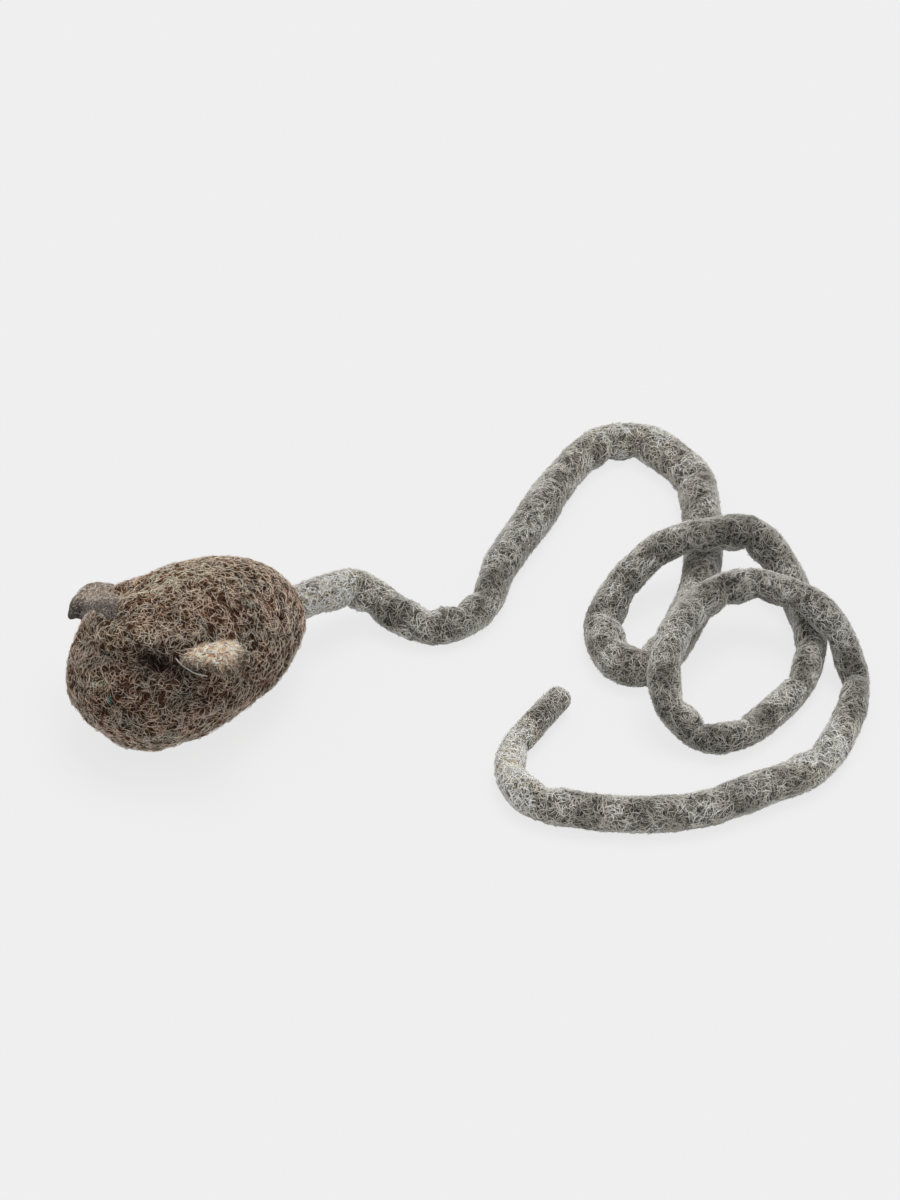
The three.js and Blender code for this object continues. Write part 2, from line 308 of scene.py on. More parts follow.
def tubes(name, spots, ups, radius, material, fields):
    # closed three-sided tubes along rows of spots, with one cell of the bake map for each
    count, rings = spots.shape[:2]
    sides = 3
    along = unit(np.gradient(spots, axis=1))
    side = unit(np.cross(along, ups))
    over = np.cross(side, along)
    angles = math.pi / 2 + 2 * math.pi * np.arange(sides) / sides
    edges = [spots + radius[..., None] * (math.cos(a) * side + math.sin(a) * over) for a in angles]
    points = np.stack(edges, axis=2)
    start = (np.arange(count) * rings * sides)[:, None, None]
    ring = (np.arange(rings - 1) * sides)[None, :, None]
    now = np.arange(sides)[None, None, :]
    after = (now + 1) % sides
    quads = np.stack([start + ring + now, start + ring + after,
                      start + ring + sides + after, start + ring + sides + now], axis=-1)
    ends = start[:, 0] + np.arange(sides)
    caps = np.stack([ends[:, ::-1], ends + (rings - 1) * sides], axis=1)
    faces = quads.reshape(-1, 4).tolist() + caps.reshape(-1, sides).tolist()
    piece = makePiece(name, points.reshape(-1, 3), faces, material,
                      {field: np.repeat(values, rings * sides, axis=0) for field, values in fields.items()})

    # a tube's sides lie flat in its cell, with its two ends to their left
    grid = math.ceil(math.sqrt(count))
    cell = np.stack([np.arange(count) % grid, np.arange(count) // grid], axis=-1)
    left, wide, foot, tall = 0.15, 0.75, 0.1, 0.8
    u = (left + wide * np.arange(rings - 1) / (rings - 1))[:, None]
    v = (foot + tall * np.arange(sides) / sides)[None, :]
    stepU, stepV = wide / (rings - 1), tall / sides
    flat = np.stack([np.stack(np.broadcast_arrays(u + i * stepU, v + j * stepV), axis=-1)
                     for i, j in ((0, 0), (0, 1), (1, 1), (1, 0))], axis=2)
    flat = cell[:, None, None, None, :] + flat[None]
    cap = np.array([[0.03, foot], [0.1, foot], [0.1, 0.5]])
    capMap = cell[:, None, None, :] + np.stack([cap, cap + [0, 0.45]])[None]
    bakeMap = np.concatenate([flat.reshape(-1, 2), capMap.reshape(-1, 2)]) / grid
    layer = piece.data.uv_layers.new(name="OFBake")
    layer.data.foreach_set("uv", bakeMap.astype(np.float32).ravel())
    return piece


def layHairs(name, ground, material, wool):
    rng = np.random.default_rng(wool["seed"])
    mesh = ground.data
    count, rings = wool["count"], wool["rings"]
    surface = surfaceOf(mesh)
    here, facing, corner = strewn(mesh, wool, rng)
    # each hair takes the pale and dark of the felt under it, painted light and shade included
    fields = {}
    for field in ("pale", "dark"):
        fields[field] = asArray(mesh.attributes[field].data, "value", 1).ravel()[corner]
    fields["shade"] = rng.beta(*wool["shade"], count)
    # white hairs stand out where the felt is darker, though not down in the painted shade of a pit
    fields["dark"] = fields["dark"] * (1 - (1 - fields["dark"]) * fields["shade"] / 2)
    # the felt's facing under each hair, for its painted sheen
    fields["lie"] = facing
    heading = unit(np.cross(facing, rng.normal(size=(count, 3))))
    stride = wool["length"] * mm * rng.uniform(*hairSpread["length"], count) / (rings - 1)
    curl = wool["curl"] * rng.uniform(*hairSpread["curl"], count)
    spin = wool["spin"] * rng.uniform(*hairSpread["spin"], count)
    wave = rng.uniform(*hairSpread["wave"], count)
    phase = rng.uniform(0, 2 * math.pi, count)
    rise = wool["rise"] * mm * rng.uniform(*hairSpread["rise"], count)
    stray = rng.random(count) < wool["strays"]
    lift = wool["lift"] * mm * rng.uniform(*hairSpread["lift"], count)
    spots = np.empty((count, rings, 3))
    ups = np.empty((count, rings, 3))
    for ring in range(rings):
        share = ring / (rings - 1)
        height = np.where(stray, lift * share ** 2, rise * math.sin(math.pi * share) - wool["dip"] * mm)
        spots[:, ring] = here + facing * height[:, None]
        ups[:, ring] = facing
        turn = (spin + curl * np.sin(phase + ring * wave))[:, None]
        heading = heading * np.cos(turn) + np.cross(facing, heading) * np.sin(turn)
        here, facing = nearest(surface, here + heading * stride[:, None])
        heading = unit(heading - facing * np.sum(heading * facing, axis=1)[:, None])
    spots[..., 2] = np.maximum(spots[..., 2], wool["thick"] * mm)
    # thinner towards both ends
    end = 0.3
    taper = np.sin(np.linspace(end, math.pi - end, rings)) ** 0.6
    thick = wool["thick"] * mm / 2 * rng.uniform(*hairSpread["thick"], count)
    return tubes(name, spots, ups, thick[:, None] * taper, material, fields)


# The tail: a rolled felt rope, laid in crossing loops
tail = {
    "thick": 13.8 * mm,
    "length": 1.0,
    "turn": 47,
    "hidden": 12 * mm,  # length inside the rump
    "step": 1.1 * mm,
    "sides": 44,
    "seed": 11,
    "lying": 5.52,  # height of its middle on the floor in mm
    "floorGap": 0.2 * mm,
    "bendSteps": 11,  # steps over which its bend is averaged
    "roundEnd": 2.3,  # 2 gives a half ball
    "plainEnd": 3 * mm,  # length of each end without lumps
    "bendBefore": 4 * mm,  # where it bends at the rump, before and after the joint
    "bendAfter": 9 * mm,
    # distance from its inner end in mm, and half the thickness there
    "girth": [(0, 6.5), (72, 6.7), (96, 5.7), (160, 7.6), (180, 6.4), (240, 7.7), (340, 7), (410, 6.9),
              (456, 5.5), (482, 6.7), (555, 5.3), (610, 5.2), (690, 6), (780, 4.9), (840, 6.2), (920, 6.2),
              (940, 5.3), (984, 4.4)],
    # where it swerves to the right of its route, over what length, and how far
    "swerves": [(24, 9, 0.9), (96, 12, 0.7), (245, 24, 0.7), (350, 20, 1.6), (456, 9, -1.2), (500, 22, 0.5),
                (568, 10, -1.1), (624, 10, 1), (648, 10, -0.8), (695, 22, 0.8), (744, 16, 1), (790, 16, 0.7),
                (850, 22, 0.8), (936, 9, -1.2), (972, 18, 0.7)],
    "lumps": [(19, 0.5), (8, 0.35), (3.2, 0.2)],
    # bulges between creases on the inside of a bend
    "crease": {
        "count": 200,
        "apart": 17,
        "uneven": (0.75, 1.35),
        "before": 30 * mm,  # so that the first lies before its inner end
        "deep": 2.2,
        "fromBend": 90 * mm,
        "fullBend": 32 * mm,
    },
    # distance from its inner end, length over which it fades, most
    "pale": [(16, 28, 0.8), (72, 12, 0.1), (218, 40, 0.4), (317, 12, 0.2), (377, 14, 0.25), (538, 14, 0.25),
             (822, 20, 0.45), (907, 8, 0.2), (951, 20, 1)],
    "dark": [(105, 35, 0.2), (475, 30, 0.2), (650, 40, 0.15), (705, 25, 0.2), (772, 34, 0.4)],
}
# route points in mm: to the right of the rump and away from the viewer, then a height where it isn't lying
lead = [[5, 4, 18.9], [9.5, 6.7, 18.4], [14.5, 10.3, 17.4], [20, 13.6, 15], [27.5, 13.6, 10.7],
        [35, 8.8, 7.4], [40, 5.8, 6], [46, 3.3], [54, 2.5], [61, 6], [66.5, 11.8], [71, 21.5], [75.5, 37],
        [85, 58.5], [95, 80.5], [102, 94.5], [110, 107.5], [118.5, 115.5], [128.5, 118], [137, 115.5],
        [144.5, 108], [151.5, 98.5], [154.7, 91], [155, 83.5]]
# where the quarter arcs of the loops meet, and how full each arc is, where 2 is a plain ellipse
loopReaches = [[155, 69.5], [124.5, -21.5], [113.5, 1], [169.5, 40.4], [190.5, -7], [153, -60.2], [134, -41],
               [167.5, 10.5], [204.6, -27]]
arcFullness = [2, 2, 1.85, 2.1, 1.5, 2, 1.85, 1.7]
# where a loop climbs over an earlier strand, in quarter turns, and how high
climbs = [
    {"up": [2.02, 2.72], "down": [2.95, 3.75], "over": 14.6},
    {"up": [5.2, 6.3], "down": [7.5, 8], "over": 14},
]
stepsPerQuarter = 6
tip = [[204.6, -31], [204.4, -35.3], [202.2, -43.8], [199, -52], [195, -60.2], [190.2, -68.5],
       [184.2, -75.2], [177.2, -80.2], [169, -84.2], [149, -94.3], [137, -97], [122, -98], [108.5, -97],
       [98, -95], [90, -92.3], [83.5, -87.2], [79, -80], [77.5, -71], [79.7, -62.5], [85.7, -51.7],
       [92.3, -42.5], [97.9, -35.1]]
tailPivot = np.array(joints["tail_swing"]["pos_m"])


def onFloor(spot):
    turn = math.radians(tail["turn"])
    across, away = spot[0] * mm, spot[1] * mm
    height = spot[2] if len(spot) > 2 else tail["lying"]
    return [tailPivot[0] + across * math.cos(turn) - away * math.sin(turn),
            tailPivot[1] + across * math.sin(turn) + away * math.cos(turn), height * mm]


def ease(value, limits):
    share = min(max((value - limits[0]) / (limits[1] - limits[0]), 0), 1)
    return share * share * (3 - 2 * share)


def loopSpot(quarter):
    # quarter arcs from reach to reach, each with its own fullness, lifted where they cross
    index = min(int(quarter), len(arcFullness) - 1)
    here, there = np.array(loopReaches[index]), np.array(loopReaches[index + 1])
    centre = np.array([there[0], here[1]] if index % 2 == 0 else [here[0], there[1]])
    angle = (quarter - index) * math.pi / 2
    power = 2 / arcFullness[index]
    spot = centre + (here - centre) * abs(math.cos(angle)) ** power
    spot = spot + (there - centre) * math.sin(angle) ** power
    lifted = sum(c["over"] * (ease(quarter, c["up"]) - ease(quarter, c["down"])) for c in climbs)
    return [spot[0], spot[1], tail["lying"] + lifted]


def smoothLine(points, step):
    # a centripetal curve through the points, cut into even steps
    points = np.array(points, float)
    padded = np.vstack([2 * points[0] - points[1], points, 2 * points[-1] - points[-2]])
    knots = np.concatenate([[0], np.cumsum(np.linalg.norm(np.diff(padded, axis=0), axis=1) ** 0.5)])
    cuts = 16
    dense = []
    for i in range(1, len(padded) - 2):
        t = np.linspace(knots[i], knots[i + 1], cuts, endpoint=False)[:, None]
        p, k = padded[i - 1:i + 3], knots[i - 1:i + 3]
        while len(p) > 1:
            gap = len(k) - len(p) + 1
            p = [((k[j + gap] - t) * p[j] + (t - k[j]) * p[j + 1]) / (k[j + gap] - k[j])
                 for j in range(len(p) - 1)]
        dense.append(p[0])
    dense = np.vstack(dense + [points[-1:]])
    run = np.concatenate([[0], np.cumsum(np.linalg.norm(np.diff(dense, axis=0), axis=1))])
    even = np.linspace(0, run[-1], round(run[-1] / step) + 1)
    return np.stack([np.interp(even, run, dense[:, i]) for i in range(3)], axis=1), even


def along(run, spots):
    # sum of stretches that each fade out: place, length, most
    return sum(most * np.exp(-(((run - place) / long) ** 2)) for place, long, most in spots)


def tailCentre():
    quarters = np.arange(stepsPerQuarter * len(arcFullness) + 1) / stepsPerQuarter
    inside = tailPivot - [0, tail["hidden"], 0]
    spots = lead + [loopSpot(q) for q in quarters] + tip
    line, run = smoothLine([inside, tailPivot] + [onFloor(s) for s in spots], tail["step"])
    right = unit(np.cross(np.gradient(line, axis=0), [0, 0, 1]))
    return line + right * along(run / mm, tail["swerves"])[:, None] * mm, run


def makeTail(material):
    rng = np.random.default_rng(tail["seed"])
    centre, run = tailCentre()
    count, sides = len(centre), tail["sides"]
    ahead = unit(np.gradient(centre, axis=0))
    side = unit(np.cross(ahead, [0, 0, 1]))
    over = np.cross(side, ahead)
    spread = np.ones(tail["bendSteps"]) / tail["bendSteps"]
    bend = np.gradient(ahead, axis=0) / tail["step"]
    bend = np.stack([np.convolve(bend[:, i], spread, mode="same") for i in range(3)], axis=1)
    tight = np.linalg.norm(bend, axis=1)
    places, halves = np.array(tail["girth"]).T * mm
    radius = np.interp(run, places, halves)
    endRun = np.minimum(run, run[-1] - run)
    toEdge = 1 - np.minimum(endRun / radius, 1)
    radius = radius * np.sqrt(np.clip(1 - toEdge ** tail["roundEnd"], 0.002, 1))

    crease = tail["crease"]
    gaps = rng.uniform(*crease["uneven"], crease["count"]) * crease["apart"] * mm
    creases = np.cumsum(gaps) - crease["before"]
    after = np.searchsorted(creases, run, side="right")
    between = (run - creases[after - 1]) / (creases[after] - creases[after - 1])
    # 0.75 of the depth down in a crease, 0.25 proud between two
    fold = 0.75 - np.sin(math.pi * between) ** 0.8
    slack, full = 1 / crease["fromBend"], 1 / crease["fullBend"]
    pinch = np.clip((tight - slack) / (full - slack), 0, 1)
    angles = 2 * math.pi * np.arange(sides) / sides
    out = np.cos(angles)[None, :, None] * side[:, None] + np.sin(angles)[None, :, None] * over[:, None]
    # all of it on the inside of the bend, a third at its sides, none outside
    inner = np.clip(0.35 + 0.9 * np.sum(out * unit(bend)[:, None], axis=2), 0, 1)
    depth = crease["deep"] * mm * inner * (pinch * fold)[:, None]
    ground = centre[:, None] + out * radius[:, None, None]
    swell = lumps(ground.reshape(-1, 3), tail["lumps"])
    swell = swell.reshape(count, sides) * np.minimum(endRun / tail["plainEnd"], 1)[:, None]
    points = centre[:, None] + out * (radius[:, None] + swell - depth)[..., None]
    points[..., 2] = np.maximum(points[..., 2], tail["floorGap"])

    now = np.arange(sides)
    after = (now + 1) % sides
    rows = (np.arange(count - 1) * sides)[:, None]
    faces = np.stack([rows + now, rows + after, rows + sides + after, rows + sides + now], axis=-1)
    faces = faces[..., ::-1].reshape(-1, 4).tolist()
    last = (count - 1) * sides
    faces += [now.tolist(), (last + now)[::-1].tolist()]
    fields = {field: np.repeat(along(run / mm, tail[field]), sides) for field in ("pale", "dark")}
    rope = makePiece("tailRope", points.reshape(-1, 3), faces, material, fields)
    return rope, centre, run[-1]


greyFelt = {
    "patch": 14,
    "gaps": [(0.35, "#262421"), (0.65, "#403e3a")],
    "strands": [(2.6, "#4b4945"), (3.1, "#605e59"), (2.4, "#7a7771"), (2.9, "#97948d")],
    "hairs": [(0.0, "#33312d"), (0.3, "#918d84"), (0.6, "#e3dfd5"), (1.0, "#fffdf8")],
    "tint": [(0.36, "#b6b4b0"), (0.5, "#e5e3e0"), (0.62, "#ffffff")],
    "pale": "#e4e2db",
    "dark": "#8b8985",
    "sheen": 0.9,
    "sheenTint": "#dcdad4",
}
greyGround = feltGround("rolled grey felt", greyFelt)
greyHair = fleeceHair("grey fleece hair", greyFelt)
tailRope, tailLine, tailRun = makeTail(greyGround)
tailHairs = {"rings": 6, "curl": 0.4, "spin": 0.2, "dip": 0.1, "lift": 1.0, "strays": 0.04}
tailCoats = {
    "tailHair": {"pieces": 4, "count": 6200, "length": 5, "thick": 0.22, "rise": 0.4,
                 "shade": (0.6, 1.0), "seed": 20},
    "tailFleck": {"pieces": 3, "count": 6200, "length": 4.5, "thick": 0.28, "rise": 0.6,
                  "shade": (2, 0.45), "seed": 24},
    "tailFuzz": {"pieces": 2, "count": 9000, "length": 1.4, "thick": 0.15, "rise": 0,
                 "shade": (2.5, 1), "seed": 28, "rings": 4, "lift": 0.9, "strays": 1},
}
tailPieces = []
for name, coat in tailCoats.items():
    for part in range(coat["pieces"]):
        share = {"part": (part / coat["pieces"], (part + 1) / coat["pieces"]), "seed": coat["seed"] + part}
        tailPieces.append(layHairs(name + str(part + 1), tailRope, greyHair, {**tailHairs, **coat, **share}))
# the rope bends at the rump; all the rest of it lies further to the right
for piece in [tailRope] + tailPieces:
    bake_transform(piece)
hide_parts("tail_root", "tail_lead", "tail_coil", "tail_tip")
print("tail laid, mm:", round(tailRun / mm))


# The body: a ball of felt, egg-shaped, with a brow over the face and a belly pressed flat
body = {
    "length": 95.2 * mm,
    "girthFromNose": 36.6 * mm,
    "girthHeight": 21 * mm,
    "bellyFlat": 0.5 * mm,
    "floorGap": 0.15 * mm,
    "divisions": 7,
    "lumps": [(21, 0.7), (8, 0.5), (3.2, 0.3)],
    # each move: a line of points in mm, how far it fades out, how much it rises
    "moves": [
        # the brow, the hollow under it and the pit before the left ear
        ([[-16, -29, 45], [-5.5, -33, 48], [5, -29.5, 50.5], [12, -25, 50.5], [19.5, -19, 47.5]], 4.5, 2.6),
        ([[-12, -37.5, 41], [-1, -39, 43.5], [10, -34, 45], [17, -28, 43.5]], 5.5, -3),
        ([[18, -26.5, 44]], 4.5, -3),
        # dents beside the right ear
        ([[-16, -25, 47.5], [-8, -26.5, 51]], 5, -1.5),
        ([[-16, -18, 51], [-11, -12, 54]], 6, -2.8),
        # right cheek and left jaw
        ([[-15.6, -42.6, 22.4], [-19.9, -37.5, 30], [-22.3, -30.3, 36.8]], 8, 1.4),
        ([[17.3, -32.9, 8.7], [14.6, -37, 9.7], [11, -39.9, 10.3]], 5, 1.7),
        # muzzle and chin
        ([[-10, -44.5, 30], [-7, -46.5, 24], [0, -47.5, 20]], 6, -1.3),
        ([[2, -44.7, 12.7], [-7, -45.9, 16.5]], 5, -0.5),
        # left flank and rump
        ([[28, -22, 14], [30, -12, 15], [30, -4, 15]], 7, -0.9),
        ([[-6, 35.9, 40.8], [3, 44.5, 31.7]], 7, -0.8),
        ([[20, 33, 17], [25, 14, 13]], 7, 0.4),
        # swellings at the roots of the ears
        ([[27, -14, 42], [25, -5, 43]], 6, 1.6),
        ([[-28, -24, 35], [-23, -13, 45]], 6, 2.2),
    ],
    # lines that are paler or darker than the rest: points in mm, how far they fade out, most
    "pale": [
        # paler along the brow crest: paler fibres there, and a painted highlight where the ridge meets the
        # lamp
        ([[-13.5, -33.5, 44.5], [-5, -33.5, 48], [3, -30, 50.5], [10, -25, 52]], 4, 0.5),
        # painted light: the lit top of the right ear, carried onto the head beside it
        ([[-18, -20, 49.5]], 4, 0.5),
        # painted light over the top of the back, where the lamp falls most
        ([[-6, -10, 55], [0, 12, 53]], 14, 0.6),
        ([[0, -45, 35], [3, -44.5, 36]], 4, 0.7),
        ([[29, -8, 33], [28.5, -3, 33.5], [27, 2.5, 37]], 3.5, 0.6),
    ],
    "dark": [
        # painted shade in the pit before the left ear
        ([[20.5, -24, 43.8], [15, -29, 46]], 4.5, 0.95),
        # painted shadow under the brow
        ([[12, -32, 46], [3, -36.5, 45.5]], 4, 0.35),
        # painted shade: the shaded front of the right ear, carried onto the head beside it
        ([[-14, -31, 44], [-6, -30, 50], [-3, -28, 51.5]], 4, 0.6),
        # painted shade over the face and the lower flanks, away from the lamp, with darker fleece there as
        # well
        ([[-14, -42, 30], [2, -43, 35], [14, -38, 36], [22, -28, 32], [29, -12, 26], [27, 18, 20]],
         13, 0.34),
    ],
}


def bodyGround(ball):
    low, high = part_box("body_shell")
    girth = low.y + body["girthFromNose"]
    halfWide = (high.x - low.x) / 2
    reach = np.where(ball[:, 1] < 0, body["girthFromNose"], body["length"] - body["girthFromNose"])
    rise = np.where(ball[:, 2] > 0, high.z - body["girthHeight"], body["girthHeight"] + body["bellyFlat"])
    scale = np.stack([np.full(len(ball), halfWide), reach, rise], axis=1)
    points = ball * scale + [0, girth, body["girthHeight"]]
    return points, unit(ball / scale)


def makeBody(material):
    ball, faces = ballPoints(body["divisions"])
    points, out = bodyGround(ball)
    rise = lumps(points, body["lumps"]) + fades(points, body["moves"]) * mm
    fields = {field: fades(points, body[field]) for field in ("pale", "dark")}
    points = points + out * rise[:, None]
    points[:, 2] = np.maximum(points[:, 2], body["floorGap"])
    return makePiece("bodyFelt", points, faces, material, fields)


brownFelt = {
    "patch": 9,
    "gaps": [(0.35, "#180e07"), (0.65, "#351f13")],
    "strands": [(3.2, "#2a1b10"), (3.8, "#382616"), (3.0, "#47321f"), (3.5, "#59422b")],
    "hairs": [(0.0, "#1d1108"), (0.35, "#78553c"), (0.6, "#cfb298"), (0.82, "#fffaf2")],
    "tint": [(0.34, "#dcdad2"), (0.5, "#f6ebe0"), (0.66, "#ffeadd")],
    # pale and dark: the colours the fields turn towards, mostly painted light and painted shade on the body
    "pale": "#a59886",
    "dark": "#4a4440",
    "sheen": 0.2,
    "sheenTint": "#8c7c6d",
}
brownGround = feltGround("wet-felted brown wool", brownFelt)
brownHair = fleeceHair("brown fleece hair", brownFelt)
bodyFelt = makeBody(brownGround)
bodyHairs = {"curl": 0.45, "spin": 0.3, "dip": 0.1, "lift": 1.2, "strays": 0.04}
bodyCoats = {
    "bodyHairUnder": {"count": 6200, "rings": 6, "length": 4.5, "thick": 0.24, "rise": 0.5,
                      "shade": (0.7, 3), "seed": 31},
    "bodyHairMiddle": {"count": 6200, "rings": 6, "length": 4.5, "thick": 0.2, "rise": 0.7,
                       "shade": (0.7, 1.8), "seed": 32},
    "bodyHairOver": {"count": 5200, "rings": 7, "length": 5, "thick": 0.18, "rise": 0.9,
                     "shade": (0.7, 0.45), "seed": 34},
    "bodyHairTop": {"count": 5200, "rings": 7, "length": 5, "thick": 0.18, "rise": 1.2,
                    "shade": (2, 0.2), "seed": 35},
}
bodyPieces = [bodyFelt]
for name, coat in bodyCoats.items():
    bodyPieces.append(layHairs(name, bodyFelt, brownHair, {**bodyHairs, **coat}))
for piece in bodyPieces:
    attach(piece, "mouse")
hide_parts("body_shell")
print("body made")


# The ears: thick felt flaps, hinged on the line where they were felted on
ears = {
    "left_ear": {
        "piece": "leftEar",
        "place": (28.7, -11.2, 45.4),  # in mm, as are the sizes below
        "blade": (0.909, -0.062, 0.413),  # the way it points
        "raise": 0.15,  # how steeply its front end rises
        "wide": 21.6,
        "thick": 6.2,
        "reach": 8,  # from its place to its free edge
        "root": 9,  # from its place into the head
        "rootRise": 0,
        "rootLean": 0,  # towards the nose
        "droop": 4.6,
        "flare": 0.3,  # how much wider the root is
        "point": 0.5,  # how much slimmer the front end is
        "rear": 0.2,  # how much fuller the rear end is
        "square": 0.7,  # shape of the rear end, where 1 is round
        "blunt": 0.9,  # shape of the free edge, where 1 is round
        # painted light and painted shade: the top of each ear is made paler and its underside darker, and
        # where front is 1 its front too
        "front": 0,  # 1 where the front end is dark too
        "upper": (0.1, 0.7),  # where the dark underside turns into the pale top
        "pale": 0.95,
        "dark": 0.75,
    },
    "right_ear": {
        "piece": "rightEar",
        "place": (-30.7, -17.3, 36.1),
        "blade": (-0.968, -0.195, -0.157),
        "raise": 0,
        "wide": 20.6,
        "thick": 11.8,
        "reach": 12.3,
        "root": 24,
        "rootRise": 11,
        "rootLean": 16,
        "droop": 7.6,
        "flare": -0.15,
        "point": 0.38,
        "rear": 0,
        "square": 1,
        "blunt": 0.45,
        "front": 1,
        "upper": (-0.25, 0.35),
        "pale": 0.8,
        "dark": 0.78,
    },
    "divisions": 6,
    "lumps": [(7, 0.8), (3, 0.5)],
    "bendBefore": 5 * mm,  # where they bend, before and after the hinge
    "bendAfter": 2 * mm,
}


def makeEar(node, material):
    ear = ears[node]
    axis = unit(np.array(joints[node + "_fold"]["axis"]))
    toNose = unit((axis if axis[1] < 0 else -axis) + [0, 0, ear["raise"]])
    blade = np.array(ear["blade"])
    blade = unit(blade - toNose * (blade @ toNose))
    top = np.cross(toNose, blade)
    top = top if top[2] > 0 else -top
    ball, faces = ballPoints(ears["divisions"])
    x, y, z = ball.T
    slim = 1 - ear["point"] * np.clip(x, 0, 1) ** 2 + ear["rear"] * np.clip(-x, 0, 1) ** 2
    full = np.where(x < 0, np.clip(1 - x * x, 1e-9, 1) ** ((ear["square"] - 1) / 2), 1)
    y, z = y * full, z * full
    rooted = np.clip(-y, 0, 1)
    flare = 1 + ear["flare"] * rooted
    out = np.where(y > 0, np.abs(y) ** ear["blunt"] * ear["reach"] * slim, y * ear["root"])
    hang = ear["droop"] * np.maximum(y, 0) ** 2
    lift = z * ear["thick"] / 2 * flare * slim - hang + ear["rootRise"] * rooted
    across = x * ear["wide"] / 2 * flare + ear["rootLean"] * rooted
    place = np.array(ear["place"]) * mm
    points = place + mm * (across[:, None] * toNose + out[:, None] * blade + lift[:, None] * top)
    normal = x[:, None] * toNose + y[:, None] * blade + z[:, None] * top
    points = points + normal * lumps(points, ears["lumps"])[:, None]
    # painted light on the top of the ear and painted shade under it and, where front is 1, on its front,
    # easing off towards the root
    low, high = ear["upper"]
    upper = np.clip((z - ear["front"] * (x + rooted) - low) / (high - low), 0, 1)
    fields = {"pale": ear["pale"] * upper, "dark": ear["dark"] * (1 - upper) * (1 - rooted / 2)}
    return makePiece(ear["piece"] + "Felt", points, faces, material, fields), blade


# the ears' own wools; their pale and dark colours are what the painted light on top and the painted shade
# beneath turn towards
creamFelt = {
    **brownFelt,
    "gaps": [(0.35, "#3a2d22"), (0.65, "#55453a")],
    "strands": [(2.2, "#78654f"), (2.6, "#96836f"), (2.0, "#b5a492"), (2.4, "#d9ccbd")],
    "hairs": [(0.0, "#6b5845"), (0.3, "#b5a492"), (0.6, "#efe7dc"), (1.0, "#ffffff")],
    "pale": "#b5ac9f",
}
duskFelt = {
    **brownFelt,
    "gaps": [(0.35, "#332b25"), (0.65, "#473e37")],
    "strands": [(2.2, "#585048"), (2.6, "#726960"), (2.0, "#8e857c"), (2.4, "#aea59c")],
    "hairs": [(0.0, "#463d35"), (0.35, "#91867b"), (0.65, "#dbd1c7"), (1.0, "#ffffff")],
    "tint": [(0.34, "#e3dfda"), (0.66, "#ffffff")],
    "pale": "#b3aca5",
}
earHairs = {"rings": 8, "curl": 0.6, "spin": 0.6, "rise": 0.6, "dip": 0.1, "lift": 1.8, "strays": 0.14}
earCoats = {
    "left_ear": {"shade": (0.8, 0.8), "count": 3600, "length": 3.8, "thick": 0.26, "seed": 41},
    "right_ear": {"shade": (0.8, 0.9), "count": 4400, "length": 5, "thick": 0.25, "seed": 42},
}
earLooks = {"left_ear": ("cream", creamFelt), "right_ear": ("grey-brown", duskFelt)}
for node, (shade, look) in earLooks.items():
    felt, blade = makeEar(node, feltGround("felted " + shade + " wool", look))
    hair = layHairs(ears[node]["piece"] + "Hair", felt, fleeceHair(shade + " fleece hair", look),
                    {**earHairs, **earCoats[node]})
    for piece in (felt, hair):
        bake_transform(piece)
    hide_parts(node)
print("ears made")


# Single fibres that catch the eye: a long white one in front of the left ear and a fleck of teal wool
fibres = {
    "whiteFibre": {
        "colour": "#fbf8f0",
        "thick": 0.5,
        "proud": 1.0,
        "spots": [[20.1, -21.3, 45.7], [21.5, -21.2, 44.3], [22.9, -20.6, 42.7], [24.2, -19.6, 41.2],
                  [25.7, -17.8, 39.4], [27, -14.9, 37.8]],
    },
    "tealFibre": {
        "colour": "#1f6b5e",
        "thick": 0.7,
        "proud": 1.0,
        "spots": [[9, -44.3, 33.6], [9.8, -44.2, 33], [10.2, -44.4, 32], [10.8, -44.2, 31.6]],
    },
}
fibreStep = 0.5 * mm


# One fibre by itself: a plain colour with a faint shine
def dyedFibre(name, colour):
    material, tree = newMaterial(name)
    shader = addNode(tree, "ShaderNodeBsdfPrincipled",
                     {"Base Color": linear(colour), "Roughness": 0.6, "IOR": 1.54,
                      "Specular IOR Level": 0.3})
    addNode(tree, "ShaderNodeOutputMaterial", {}, {"Surface": shader.outputs["BSDF"]})
    return material


skin = surfaceOf(bodyFelt.data)
for name, fibre in fibres.items():
    spots, facing = nearest(skin, smoothLine(np.array(fibre["spots"]) * mm, fibreStep)[0])
    spots = spots + facing * fibre["proud"] * mm
    radius = np.full((1, len(spots)), fibre["thick"] * mm / 2)
    piece = tubes(name, spots[None], facing[None], radius, dyedFibre(name, fibre["colour"]), {})
    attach(piece, "mouse")
print("fibres laid")


# The filling: a lump of carded wool round a handful of dried catnip, both out of sight inside the felt
filling = {
    "grain": [(14, 1.6), (5, 0.7)],
    "inset": 6.5,  # from the outside of the felt in mm
    "divisions": 6,
    "seed": 51,
    "flakes": 900,
    "flake": 3.2,  # length in mm, and how far single flakes differ from it
    "flakeSpread": (0.5, 1.2),
    "flakeWide": 0.6,  # width and thickness as shares of a flake's length
    "flakeThick": 0.12,
    "heap": 0.86,  # share of the herb's box that they fill
    "evenness": 0.33,  # a third spreads them evenly, more would gather them in the middle
}
cardedWool = {
    "patch": 10,
    "gaps": [(0.35, "#a59a88"), (0.65, "#b8ae9d")],
    "strands": [(3.5, "#b9ae9c"), (4.2, "#c6bcab"), (3.2, "#d2c9b9"), (4.8, "#ded6c8")],
    "tint": [(0.34, "#d8d2c8"), (0.66, "#ffffff")],
    "pale": "#d6cdbe",
    "dark": "#8a8172",
    "sheen": 0.2,
    "sheenTint": "#ded6c8",
}


